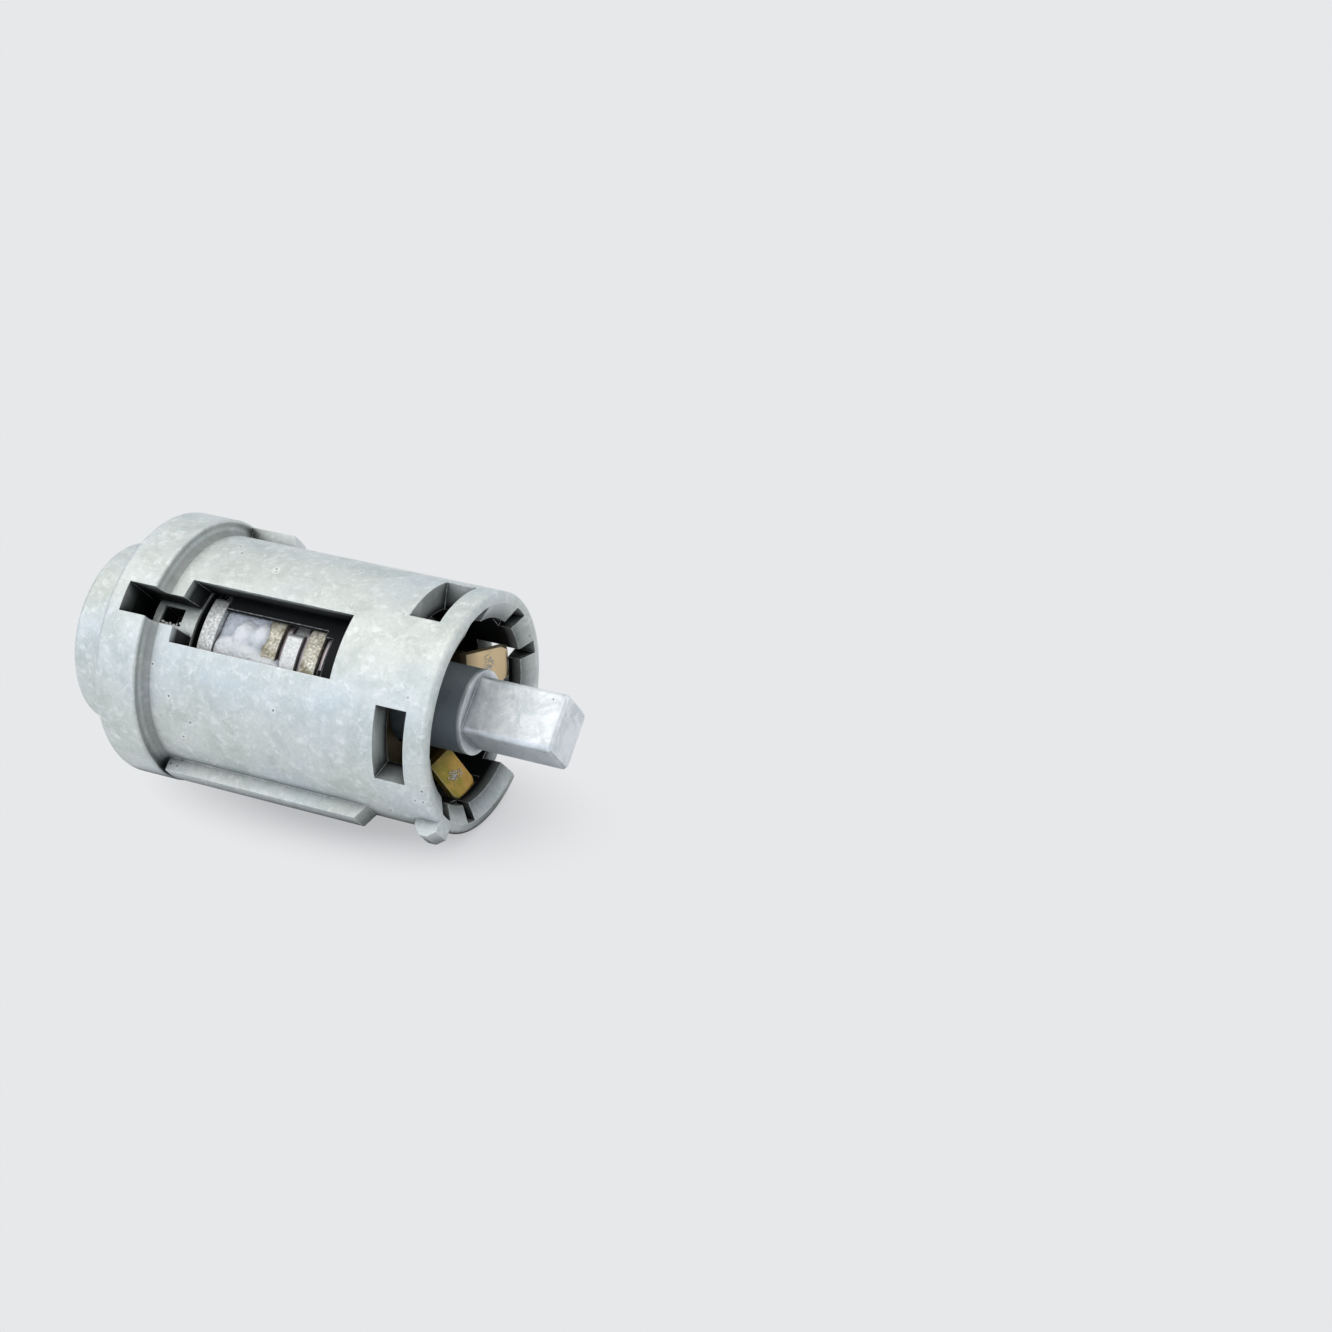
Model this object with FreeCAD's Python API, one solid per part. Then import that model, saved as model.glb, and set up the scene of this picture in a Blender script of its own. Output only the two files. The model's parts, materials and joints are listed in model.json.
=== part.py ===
import FreeCAD, Part
import math
import os

# Lock barrel with six turning discs, a sidebar, a sprung keyway flap and a rectangular drive tail.
# X runs along the barrel, from the keyway to the tail, and 0 is the flange's rear shoulder.
# A bearing is an angle about X, in degrees from the middle of the side window, positive by the right-hand rule.
# Everything is drawn with the window straight up. The whole barrel is then rolled by LIE_ANGLE, as it lies.

Vector = FreeCAD.Vector
AXIS = Vector(1, 0, 0)
ORIGIN = Vector(0, 0, 0)
FULL_TURN = 360.0
MATCH = 0.001

# How the barrel lies
LIE_ANGLE = 40.5

# Clearances, and how far a cut runs past what it cuts
RUNNING_CLEARANCE = 0.10
SLIDING_CLEARANCE = 0.05
END_PLAY = 0.10
OVERRUN = 1.0

# Housing casting
BODY_RADIUS = 12.5
BORE_RADIUS = 9.7
BODY_LENGTH = 32.4
FLANGE_RADIUS = 14.04
FLANGE_LENGTH = 4.8
FLANGE_FILLET = 0.9
EDGE_ROUNDING = 0.5
COLLAR_RADIUS = 9.74
COLLAR_LENGTH = 5.8
FRONT_BORE_RADIUS = 8.3
SHOULDER_DEPTH = 2.0

# Side window and the notch in front of it
WINDOW_START = 2.4
WINDOW_LENGTH = 18.8
WINDOW_WIDTH = 6.9
WINDOW_DRAFT = 0.7
NOTCH_START = -3.1
NOTCH_WIDTH = 3.2
NOTCH_BEARING = 1.15

# Rear windows: two wide ones beside the side window, and two that the clip's fingers snap into
REAR_WINDOW_LENGTH = 3.4
WIDE_WINDOW_BEARINGS = (40.5, -40.5)
WIDE_WINDOW_ANGLE = 36.0
FINGER_BEARINGS = (139.5, -129.0)
FINGER_WINDOW_ANGLE = 28.0

# Rear rim, with the tapered pads inside it and its slot
RIM_LENGTH = 2.35
RIM_INNER_RADIUS = 11.4
RIM_TAPER = 0.9
PAD_BEARINGS = ((-30.0, 30.0), (50.0, 84.0), (95.0, 116.0), (124.0, 170.0))
RIM_SLOT_ANGLE = 25.0
RIM_SLOT_DEPTH = 3.0

# Keying ribs and nub
RIB_RADIUS = 14.0
RIB_WIDTH = 2.8
RIB_SLANT = 0.9
NEAR_RIB_START = 0.9
NEAR_RIB_END = 24.2
FAR_RIB_END = 5.9
NUB_LENGTH = 2.5

# Plug casting
HEAD_SEAT_DROP = 0.5
CAP_SKIRT = 2.0
FRONT_WALL_END = 3.8
REAR_WALL_LENGTH = 2.9
REAR_STEP = 0.65
REAR_STEP_RADIUS = 7.0
STOP_BLOCK_RADIUS = 9.3
STOP_BLOCK_BEARINGS = (12.0, 18.0)
CARRIER_WALL = 1.4
CARRIER_BEARINGS = (75.0, 327.0)
LIP_BEARING = -12.5
GUSSET_BEARING = -8.0
GUSSET_LENGTH = 0.9
LAND_GROOVE_LENGTH = 0.7
POCKET_START = -1.1
POCKET_LENGTH = 2.5
POCKET_WIDTH = 1.9
POCKET_FLOOR = 6.5
KEY_RADIUS = 3.1
KEY_TIP_RADIUS = 2.6
GUIDE_NOTCH_WIDTH = 1.55
GUIDE_NOTCH_DEPTH = 1.0

# Chamber behind the keyway, with the flap and its pin
CHAMBER_END = -0.8
CHAMBER_HALF_WIDTH = 3.7
CHAMBER_LOW = -3.6
CHAMBER_HIGH = 5.7
CAP_THICKNESS = 0.5
CAP_RECESS = 0.1
FLAP_THICKNESS = 0.5
FLAP_WIDTH = 6.8
FLAP_LOW = -3.5
FLAP_HIGH = 3.8
FLAP_PIN_HEIGHT = 4.7
FLAP_PIN_RADIUS = 0.4
KNUCKLE_RADIUS = 0.72
KNUCKLE_LENGTH = 1.8
PIN_HALF_LENGTH = 5.0
PIN_HOLE_CLEARANCE = 0.02
FLAP_SPRING_WIRE = 0.12
FLAP_SPRING_END_GAP = 0.3
FLAP_SPRING_TURNS = 3
WIRE_SIDES = 6

# Discs and the plates between them
DISC_COUNT = 6
DISC_THICKNESS = 1.7
DISC_PITCH = 2.35
FIRST_LUG_RADIUS = 9.5
DISC_LUG_RADIUS = 9.0
DISC_LUG_ANGLE = 55.0
LUG_ROUNDING = 0.6
DISC_FLAT = 4.4
DISC_CUTS = (1, 3, 4, 1, 2, 1)
CUT_ANGLE = 12.0
GATE_CLEARANCE = 0.15
SPACER_THICKNESS = 0.55
SPACER_LUG_RADIUS = 8.5
PACK_WASHER_THICKNESS = 0.35
STOP_ANGLE = 0.5

# Sidebar and its springs
SIDEBAR_WIDTH = 2.0
SIDEBAR_NOSE_CHAMFER = 0.45
SIDEBAR_REACH = 0.9
SIDEBAR_TRAVEL = 0.95
SIDEBAR_TAB_HEIGHT = 1.6
SIDEBAR_TAB_LENGTH = 3.2
SIDEBAR_END_GAP = 0.25
PLUG_TURN = 100.0
GROOVE_CLEARANCE = 0.2
GROOVE_END_GAP = 0.3
GROOVE_STEPS = 8
SIDEBAR_SPRING_RADIUS = 0.7
SIDEBAR_SPRING_WIRE = 0.12
SIDEBAR_SPRING_DEPTH = 2.5
SIDEBAR_SPRING_TURNS = 4

# Tail driver
TAIL_BASE_RADIUS = 8.6
TAIL_BASE_LENGTH = 1.5
TONGUE_WIDTH = 2.9
TONGUE_LENGTH = 13.8
TONGUE_DEPTH = 0.9
SHAFT_RADIUS = 4.4
SHAFT_SETBACK = 0.5
TAIL_REACH = 9.35
TAIL_WIDTH = 6.3
TAIL_HEIGHT = 5.8
TAIL_CORNER = 0.7
TAIL_END_CHAMFER = 0.3

# Thrust washer and retaining clip
THRUST_WASHER_THICKNESS = 0.55
CLIP_SHEET = 0.6
CLIP_RING_RADIUS = 7.4
CLIP_BORE_RADIUS = 4.7
FINGER_WIDTH = 4.1
FINGER_CORNER = 0.5
FINGER_RADIUS = 6.5
FINGER_STRAIGHT_SHARE = 2.7
FINGER_FLARE_SHARE = 3.0
FINGER_TIP_RADIUS = 9.95
FINGER_TIP_GAP = 0.15

# Worked out from the sizes above
collar_front = -FLANGE_LENGTH - COLLAR_LENGTH
cap_front = collar_front + CAP_RECESS
head_front = cap_front + CAP_THICKNESS
head_radius = FRONT_BORE_RADIUS - RUNNING_CLEARANCE
head_seat_radius = head_radius - HEAD_SEAT_DROP
plug_radius = BORE_RADIUS - RUNNING_CLEARANCE
plug_shoulder = -SHOULDER_DEPTH + END_PLAY
carrier_radius = plug_radius - CARRIER_WALL
disc_radius = carrier_radius - RUNNING_CLEARANCE
first_disc_start = FRONT_WALL_END + END_PLAY
disc_pack_end = first_disc_start + (DISC_COUNT - 1) * DISC_PITCH + DISC_THICKNESS
pack_washer_start = disc_pack_end + END_PLAY
pack_seat = pack_washer_start + PACK_WASHER_THICKNESS + SLIDING_CLEARANCE
rear_wall_start = pack_seat + REAR_STEP
rear_wall_end = rear_wall_start + REAR_WALL_LENGTH
lip_radius = DISC_LUG_RADIUS + RUNNING_CLEARANCE
tail_base_end = rear_wall_end + TAIL_BASE_LENGTH
washer_start = tail_base_end + SLIDING_CLEARANCE
washer_end = washer_start + THRUST_WASHER_THICKNESS
clip_start = washer_end + END_PLAY
clip_end = clip_start + CLIP_SHEET
rear_window_end = BODY_LENGTH - RIM_LENGTH
rear_window_start = rear_window_end - REAR_WINDOW_LENGTH
finger_tip_x = rear_window_end - FINGER_TIP_GAP
finger_shares = FINGER_STRAIGHT_SHARE + FINGER_FLARE_SHARE
finger_bend_x = clip_end + (finger_tip_x - clip_end) * FINGER_STRAIGHT_SHARE / finger_shares
shaft_end = BODY_LENGTH - SHAFT_SETBACK
tail_end = BODY_LENGTH + TAIL_REACH
opening_low = CARRIER_BEARINGS[1] - FULL_TURN
opening_high = CARRIER_BEARINGS[0]
sidebar_top = plug_radius + SIDEBAR_REACH
sidebar_foot = disc_radius + GATE_CLEARANCE
gate_floor = sidebar_foot - SIDEBAR_TRAVEL - GATE_CLEARANCE
sidebar_start = FRONT_WALL_END - SIDEBAR_TAB_LENGTH
sidebar_end = rear_wall_end - SIDEBAR_END_GAP
sidebar_tab_floor = sidebar_top - SIDEBAR_TAB_HEIGHT
spring_seat_floor = sidebar_tab_floor - SIDEBAR_TRAVEL - SIDEBAR_SPRING_DEPTH
sidebar_spring_places = {
    "sidebar_spring_front": (sidebar_start + FRONT_WALL_END) / 2,
    "sidebar_spring_rear": (rear_wall_start + sidebar_end) / 2,
}
flap_pin_x = head_front + SLIDING_CLEARANCE + KNUCKLE_RADIUS


def turned(shape, bearing):
    """The shape turned about the barrel's axis."""
    return shape.rotated(ORIGIN, AXIS, bearing)


def spot(x, radius, bearing):
    """The point at that distance from the axis, on that bearing."""
    angle = math.radians(bearing)
    return Vector(x, -radius * math.sin(angle), radius * math.cos(angle))


def rod(radius, start, end):
    """A round bar on the axis."""
    return Part.makeCylinder(radius, end - start, Vector(start, 0, 0), AXIS)


def tube(outer, inner, start, end):
    """A round tube on the axis."""
    return rod(outer, start, end).cut(rod(inner, start, end))


def sector(outer, inner, start, end, low, high):
    """The part of a tube that lies between two bearings."""
    middle = (low + high) / 2
    edges = [
        Part.Arc(spot(start, outer, low), spot(start, outer, middle), spot(start, outer, high)).toShape(),
        Part.makeLine(spot(start, outer, high), spot(start, inner, high)),
        Part.Arc(spot(start, inner, high), spot(start, inner, middle), spot(start, inner, low)).toShape(),
        Part.makeLine(spot(start, inner, low), spot(start, outer, low)),
    ]
    return Part.Face(Part.Wire(edges)).extrude(Vector(end - start, 0, 0))


def block(start, end, width, low, high, bearing=0.0):
    """A block along the barrel, that wide across, between two heights over the axis."""
    box = Part.makeBox(end - start, width, high - low, Vector(start, -width / 2, low))
    return turned(box, bearing)


def across(outline, width, bearing=0.0):
    """A plate whose outline is given as x and height over the axis, that wide across."""
    points = [Vector(x, -width / 2, height) for x, height in outline]
    face = Part.Face(Part.makePolygon(points + points[:1]))
    return turned(face.extrude(Vector(0, width, 0)), bearing)


def rounded_outline(corners):
    """A closed wire in the X-Z plane through corners of x, height and rounding."""
    stations = []
    for index, (x, height, rounding) in enumerate(corners):
        here = Vector(x, 0, height)
        before = Vector(corners[index - 1][0], 0, corners[index - 1][1])
        after_corner = corners[(index + 1) % len(corners)]
        after = Vector(after_corner[0], 0, after_corner[1])
        if rounding == 0:
            stations.append((here, here, here))
            continue
        back = (before - here).normalize()
        forth = (after - here).normalize()
        half = back.getAngle(forth) / 2
        setback = rounding / math.tan(half)
        middle = here + (back + forth).normalize() * (rounding / math.sin(half) - rounding)
        stations.append((here + back * setback, middle, here + forth * setback))
    edges = []
    for index, (arc_start, middle, arc_end) in enumerate(stations):
        if (arc_end - arc_start).Length > 0:
            edges.append(Part.Arc(arc_start, middle, arc_end).toShape())
        next_start = stations[(index + 1) % len(stations)][0]
        edges.append(Part.makeLine(arc_end, next_start))
    return Part.Wire(edges)


def turned_solid(corners):
    """The solid that an outline of x, radius and rounding sweeps round the axis."""
    return Part.Face(rounded_outline(corners)).revolve(ORIGIN, AXIS, FULL_TURN)


def edges_along(shape, radius=0.0):
    """The shape's edges that run along the barrel, at least that far from the axis."""
    found = []
    for edge in shape.Edges:
        middle = edge.CenterOfMass
        runs_along = abs(edge.tangentAt(edge.FirstParameter).x) > 1 - MATCH
        if runs_along and math.hypot(middle.y, middle.z) > radius - MATCH:
            found.append(edge)
    return found


def coil_spring(radius, wire, length, turns):
    """A coil that stands on the origin, along Z. Its wire has a few flats, which keeps it light."""
    pitch = (length - 2 * wire) / turns
    helix = Part.makeHelix(pitch, pitch * turns, radius)
    helix.translate(Vector(0, 0, wire))
    start = helix.Edges[0].valueAt(helix.Edges[0].FirstParameter)
    along = helix.Edges[0].tangentAt(helix.Edges[0].FirstParameter)
    round_section = Part.makeCircle(wire, start, along)
    section = Part.makePolygon(round_section.discretize(WIRE_SIDES + 1))
    return Part.Wire(helix.Edges).makePipeShell([section], True, True)


def make_barrel_housing():
    """The casting: collar, flange, body, ribs, windows, rim and the sidebar's cam groove."""
    casting = turned_solid([
        (collar_front, 0, 0),
        (collar_front, COLLAR_RADIUS, EDGE_ROUNDING),
        (-FLANGE_LENGTH, COLLAR_RADIUS, 0),
        (-FLANGE_LENGTH, FLANGE_RADIUS, EDGE_ROUNDING),
        (0, FLANGE_RADIUS, EDGE_ROUNDING / 2),
        (0, BODY_RADIUS, FLANGE_FILLET),
        (BODY_LENGTH, BODY_RADIUS, EDGE_ROUNDING),
        (BODY_LENGTH, 0, 0),
    ])
    casting = casting.fuse(make_ribs())
    bore = rod(FRONT_BORE_RADIUS, collar_front, -SHOULDER_DEPTH)
    bore = bore.fuse(rod(BORE_RADIUS, -SHOULDER_DEPTH, BODY_LENGTH))
    bore = bore.fuse(rod(RIM_INNER_RADIUS, rear_window_end, BODY_LENGTH))
    casting = casting.cut(bore)
    casting = casting.fuse(make_rim_pads())
    for cut in make_housing_openings():
        casting = casting.cut(cut)
    return casting.removeSplitter()


def make_ribs():
    """The long near rib, the short far rib and the nub at the rim."""
    root = (BODY_RADIUS + BORE_RADIUS) / 2
    near = across([
        (NEAR_RIB_START, root),
        (NEAR_RIB_END, root),
        (NEAR_RIB_END, BODY_RADIUS),
        (NEAR_RIB_END - RIB_SLANT, RIB_RADIUS),
        (NEAR_RIB_START, RIB_RADIUS),
    ], RIB_WIDTH, 90)
    far = across([
        (-FLANGE_LENGTH / 2, root),
        (FAR_RIB_END, root),
        (FAR_RIB_END, BODY_RADIUS),
        (FAR_RIB_END - RIB_SLANT, RIB_RADIUS),
        (-FLANGE_LENGTH / 2, RIB_RADIUS),
    ], RIB_WIDTH, -90)
    nub_start = BODY_LENGTH - NUB_LENGTH
    root = (BODY_RADIUS + RIM_INNER_RADIUS) / 2
    nub = across([
        (nub_start, root),
        (BODY_LENGTH, root),
        (BODY_LENGTH, BODY_RADIUS + (RIB_RADIUS - BODY_RADIUS) / 2),
        (BODY_LENGTH - RIB_SLANT, RIB_RADIUS),
        (nub_start + RIB_SLANT, RIB_RADIUS),
        (nub_start, BODY_RADIUS + (RIB_RADIUS - BODY_RADIUS) / 3),
    ], RIB_WIDTH, 90)
    return near.fuse([far, nub]).common(rod(RIB_RADIUS, -FLANGE_LENGTH, BODY_LENGTH))


def make_rim_pads():
    """The pads that stand in from the rim, mirrored to both sides of the window, with a tapered mouth."""
    root = (RIM_INNER_RADIUS + BODY_RADIUS) / 2
    mirrored = [(-high, -low) for low, high in PAD_BEARINGS if low > 0]
    mouth = Part.makeCone(BORE_RADIUS, RIM_INNER_RADIUS, RIM_TAPER, Vector(BODY_LENGTH - RIM_TAPER, 0, 0), AXIS)
    pads = []
    for low, high in list(PAD_BEARINGS) + mirrored:
        pads.append(sector(root, BORE_RADIUS, rear_window_end, BODY_LENGTH, low, high).cut(mouth))
    return pads


def make_housing_openings():
    """The side window, its notch, the rear windows, the rim slot and the cam groove."""
    outside = FLANGE_RADIUS + OVERRUN
    inside = BORE_RADIUS - OVERRUN
    window_foot = WINDOW_START + WINDOW_DRAFT
    window = across([
        (window_foot, inside),
        (window_foot, BORE_RADIUS),
        (WINDOW_START, BODY_RADIUS),
        (WINDOW_START, outside),
        (WINDOW_START + WINDOW_LENGTH, outside),
        (WINDOW_START + WINDOW_LENGTH, inside),
    ], WINDOW_WIDTH)
    notch = block(NOTCH_START, window_foot + END_PLAY, NOTCH_WIDTH, FRONT_BORE_RADIUS - OVERRUN, outside,
                  NOTCH_BEARING)
    cuts = [window, notch, make_cam_groove()]
    openings = [(bearing, WIDE_WINDOW_ANGLE) for bearing in WIDE_WINDOW_BEARINGS]
    openings += [(bearing, FINGER_WINDOW_ANGLE) for bearing in FINGER_BEARINGS]
    for bearing, angle in openings:
        cuts.append(sector(outside, inside, rear_window_start, rear_window_end,
                           bearing - angle / 2, bearing + angle / 2))
    cuts.append(sector(outside, inside, BODY_LENGTH - RIM_SLOT_DEPTH, BODY_LENGTH,
                       180 - RIM_SLOT_ANGLE / 2, 180 + RIM_SLOT_ANGLE / 2))
    return cuts


def make_cam_groove():
    """The sidebar's groove: deepest at rest, and rising evenly until the plug is fully turned."""
    start = sidebar_start - GROOVE_END_GAP
    length = sidebar_end + GROOVE_END_GAP - start
    margin = math.degrees((SIDEBAR_WIDTH / 2 + GROOVE_CLEARANCE / 2) / BORE_RADIUS)
    deepest = math.hypot(sidebar_top + GROOVE_CLEARANCE, SIDEBAR_WIDTH / 2)
    low = 180 - margin
    high = 180 + PLUG_TURN + margin
    ramp = []
    for step in range(GROOVE_STEPS + 1):
        share = step / GROOVE_STEPS
        turn = (high - 180 + margin) * share - 2 * margin
        rise = SIDEBAR_TRAVEL * max(0.0, turn) / PLUG_TURN
        ramp.append(spot(start, deepest - rise, low + (high - low) * share))
    curve = Part.BSplineCurve()
    curve.interpolate(ramp)
    inner = BORE_RADIUS - OVERRUN
    edges = [
        curve.toShape(),
        Part.makeLine(ramp[-1], spot(start, inner, high)),
        Part.Arc(spot(start, inner, high), spot(start, inner, (low + high) / 2), spot(start, inner, low)).toShape(),
        Part.makeLine(spot(start, inner, low), ramp[0]),
    ]
    return Part.Face(Part.Wire(edges)).extrude(Vector(length, 0, 0))


def make_plug():
    """The casting that turns: head with the flap's chamber, half-round carrier and two walls."""
    cap_skirt_end = head_front + CAP_SKIRT
    plug = turned_solid([
        (head_front, 0, 0),
        (head_front, head_seat_radius, 0),
        (cap_skirt_end, head_seat_radius, 0),
        (cap_skirt_end, head_radius, 0),
        (plug_shoulder, head_radius, 0),
        (plug_shoulder, plug_radius, 0),
        (FRONT_WALL_END, plug_radius, 0),
        (FRONT_WALL_END, 0, 0),
    ])
    plug = plug.fuse(make_carrier())
    chamber = Part.makeBox(CHAMBER_END - head_front, 2 * CHAMBER_HALF_WIDTH, CHAMBER_HIGH - CHAMBER_LOW,
                           Vector(head_front, -CHAMBER_HALF_WIDTH, CHAMBER_LOW))
    pin_hole = Part.makeCylinder(FLAP_PIN_RADIUS + PIN_HOLE_CLEARANCE, 2 * PIN_HALF_LENGTH,
                                 Vector(flap_pin_x, -PIN_HALF_LENGTH, FLAP_PIN_HEIGHT), Vector(0, 1, 0))
    cuts = [
        chamber,
        pin_hole,
        rod(KEY_RADIUS, CHAMBER_END - OVERRUN, FRONT_WALL_END),
        rod(KEY_TIP_RADIUS, pack_seat, rear_wall_end),
        block(POCKET_START, POCKET_START + POCKET_LENGTH, POCKET_WIDTH, POCKET_FLOOR, plug_radius + OVERRUN),
        sector(plug_radius + OVERRUN, carrier_radius, FRONT_WALL_END - LAND_GROOVE_LENGTH, FRONT_WALL_END,
               opening_low, opening_high),
        block(rear_wall_end - TONGUE_DEPTH - END_PLAY, rear_wall_end, TONGUE_WIDTH + SLIDING_CLEARANCE,
              -TONGUE_LENGTH / 2 - SLIDING_CLEARANCE, TONGUE_LENGTH / 2 + SLIDING_CLEARANCE, 90),
    ]
    cuts += make_sidebar_room()
    for cut in cuts:
        plug = plug.cut(cut)
    return plug.removeSplitter()


def make_carrier():
    """What stands behind the plug's front wall: carrier, lip over the disc lugs, and the stepped rear wall."""
    carrier = sector(plug_radius, carrier_radius, FRONT_WALL_END, rear_wall_start, *CARRIER_BEARINGS)
    lip_start = first_disc_start + DISC_THICKNESS + END_PLAY
    lip = sector(plug_radius, lip_radius, lip_start, rear_wall_start, opening_low, LIP_BEARING)
    gusset = sector(plug_radius, lip_radius, rear_wall_start - GUSSET_LENGTH, rear_wall_start,
                    opening_low, GUSSET_BEARING)
    stop_block = sector(STOP_BLOCK_RADIUS, disc_radius / 2, pack_seat, rear_wall_start, *STOP_BLOCK_BEARINGS)
    step = rod(REAR_STEP_RADIUS, pack_seat, rear_wall_start)
    wall = rod(plug_radius, rear_wall_start, rear_wall_end)
    return [carrier, lip, gusset, stop_block, step, wall]


def make_sidebar_room():
    """The sidebar's slot in the carrier, the seats for its end tabs and the holes for its springs."""
    width = SIDEBAR_WIDTH + 2 * SLIDING_CLEARANCE
    tab_floor = sidebar_tab_floor - SIDEBAR_TRAVEL - SLIDING_CLEARANCE
    outside = plug_radius + OVERRUN
    cuts = [
        block(FRONT_WALL_END, pack_seat, width, gate_floor, outside, 180),
        block(sidebar_start - SLIDING_CLEARANCE, FRONT_WALL_END, width, tab_floor, outside, 180),
        block(pack_seat, sidebar_end + SLIDING_CLEARANCE, width, tab_floor, outside, 180),
    ]
    hole = SIDEBAR_SPRING_RADIUS + SIDEBAR_SPRING_WIRE + SLIDING_CLEARANCE
    for x in sidebar_spring_places.values():
        depth = tab_floor + SLIDING_CLEARANCE - spring_seat_floor
        well = Part.makeCylinder(hole, depth, Vector(x, 0, spring_seat_floor))
        cuts.append(turned(well, 180))
    return cuts


def make_face_cap():
    """The pressed cap over the plug's head, with the round keyway and its guide notch."""
    cap = tube(head_radius, KEY_RADIUS, cap_front, head_front)
    skirt = tube(head_radius, head_seat_radius + SLIDING_CLEARANCE, head_front, head_front + CAP_SKIRT - END_PLAY)
    guide_notch = block(cap_front, head_front, GUIDE_NOTCH_WIDTH, 0, KEY_RADIUS + GUIDE_NOTCH_DEPTH)
    return cap.fuse(skirt).cut(guide_notch).removeSplitter()


def make_keyway_shutter():
    """The flap that closes the keyway, with two knuckles round its pin."""
    front = head_front + SLIDING_CLEARANCE
    flap = Part.makeBox(FLAP_THICKNESS, FLAP_WIDTH, FLAP_HIGH - FLAP_LOW, Vector(front, -FLAP_WIDTH / 2, FLAP_LOW))
    hole = FLAP_PIN_RADIUS + SLIDING_CLEARANCE
    for low in (-FLAP_WIDTH / 2, FLAP_WIDTH / 2 - KNUCKLE_LENGTH):
        place = Vector(flap_pin_x, low, FLAP_PIN_HEIGHT)
        knuckle = Part.makeCylinder(KNUCKLE_RADIUS, KNUCKLE_LENGTH, place, Vector(0, 1, 0))
        arm = Part.makeBox(FLAP_THICKNESS, KNUCKLE_LENGTH, FLAP_PIN_HEIGHT - FLAP_LOW, Vector(front, low, FLAP_LOW))
        flap = flap.fuse([knuckle, arm])
        flap = flap.cut(Part.makeCylinder(hole, KNUCKLE_LENGTH, place, Vector(0, 1, 0)))
    return flap.removeSplitter()


def make_shutter_pin():
    """The flap's hinge pin, pressed across the plug's head."""
    return Part.makeCylinder(FLAP_PIN_RADIUS, 2 * PIN_HALF_LENGTH,
                             Vector(flap_pin_x, -PIN_HALF_LENGTH, FLAP_PIN_HEIGHT), Vector(0, 1, 0))


def make_shutter_spring():
    """The small torsion coil round the pin, between the knuckles, with one leg on the flap."""
    wire = FLAP_SPRING_WIRE
    radius = KNUCKLE_RADIUS - wire
    length = FLAP_WIDTH - 2 * KNUCKLE_LENGTH - 2 * FLAP_SPRING_END_GAP
    coil = coil_spring(radius, wire, length, FLAP_SPRING_TURNS)
    coil.rotate(ORIGIN, Vector(1, 0, 0), -90)
    coil.translate(Vector(flap_pin_x, -length / 2, FLAP_PIN_HEIGHT))
    leg_x = head_front + 2 * SLIDING_CLEARANCE + FLAP_THICKNESS + wire
    leg_length = (FLAP_HIGH - FLAP_LOW) / 2
    leg_foot = Vector(leg_x, length / 2 - wire, FLAP_PIN_HEIGHT - radius - leg_length)
    leg = Part.makeCylinder(wire, leg_length, leg_foot)
    back = Part.makeCylinder(wire, leg_length / 2,
                             Vector(flap_pin_x, wire - length / 2, FLAP_PIN_HEIGHT + radius), AXIS)
    return Part.makeCompound([coil, leg, back])


def make_disc(index):
    """One turning disc, as it stands when the gates are lined up with the sidebar."""
    start = first_disc_start + index * DISC_PITCH
    end = start + DISC_THICKNESS
    turn = DISC_CUTS[index] * CUT_ANGLE
    lug_low = opening_low + STOP_ANGLE + turn
    disc = rod(disc_radius, start, end)
    lug_radius = FIRST_LUG_RADIUS if index == 0 else DISC_LUG_RADIUS
    lug = sector(lug_radius, disc_radius / 2, start, end, lug_low, lug_low + DISC_LUG_ANGLE)
    disc = disc.fuse(lug.makeFillet(LUG_ROUNDING, edges_along(lug, lug_radius)))
    slot = rod(KEY_RADIUS, start, end).common(block(start, end, DISC_FLAT, -KEY_RADIUS, KEY_RADIUS, turn))
    disc = disc.cut(slot)
    gate_width = SIDEBAR_WIDTH + 2 * GATE_CLEARANCE
    return disc.cut(block(start, end, gate_width, gate_floor, disc_radius + OVERRUN, 180)).removeSplitter()


def make_plate(start, thickness, lug_radius):
    """A still plate of the disc pack, keyed by the edges of the carrier."""
    end = start + thickness
    low = opening_low + STOP_ANGLE
    high = opening_high - STOP_ANGLE
    plate = rod(disc_radius, start, end)
    plate = plate.fuse(sector(lug_radius, disc_radius / 2, start, end, low, high))
    plate = plate.cut(rod(KEY_RADIUS, start, end))
    gate_width = SIDEBAR_WIDTH + 2 * GATE_CLEARANCE
    return plate.cut(block(start, end, gate_width, gate_floor, disc_radius + OVERRUN, 180)).removeSplitter()


def make_spacer(index):
    """The plate behind the disc of that index."""
    gap_start = first_disc_start + index * DISC_PITCH + DISC_THICKNESS
    gap = DISC_PITCH - DISC_THICKNESS
    return make_plate(gap_start + (gap - SPACER_THICKNESS) / 2, SPACER_THICKNESS, SPACER_LUG_RADIUS)


def make_pack_washer():
    """The plate that closes the pack against the step of the rear wall."""
    return make_plate(pack_washer_start, PACK_WASHER_THICKNESS, SPACER_LUG_RADIUS)


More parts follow.
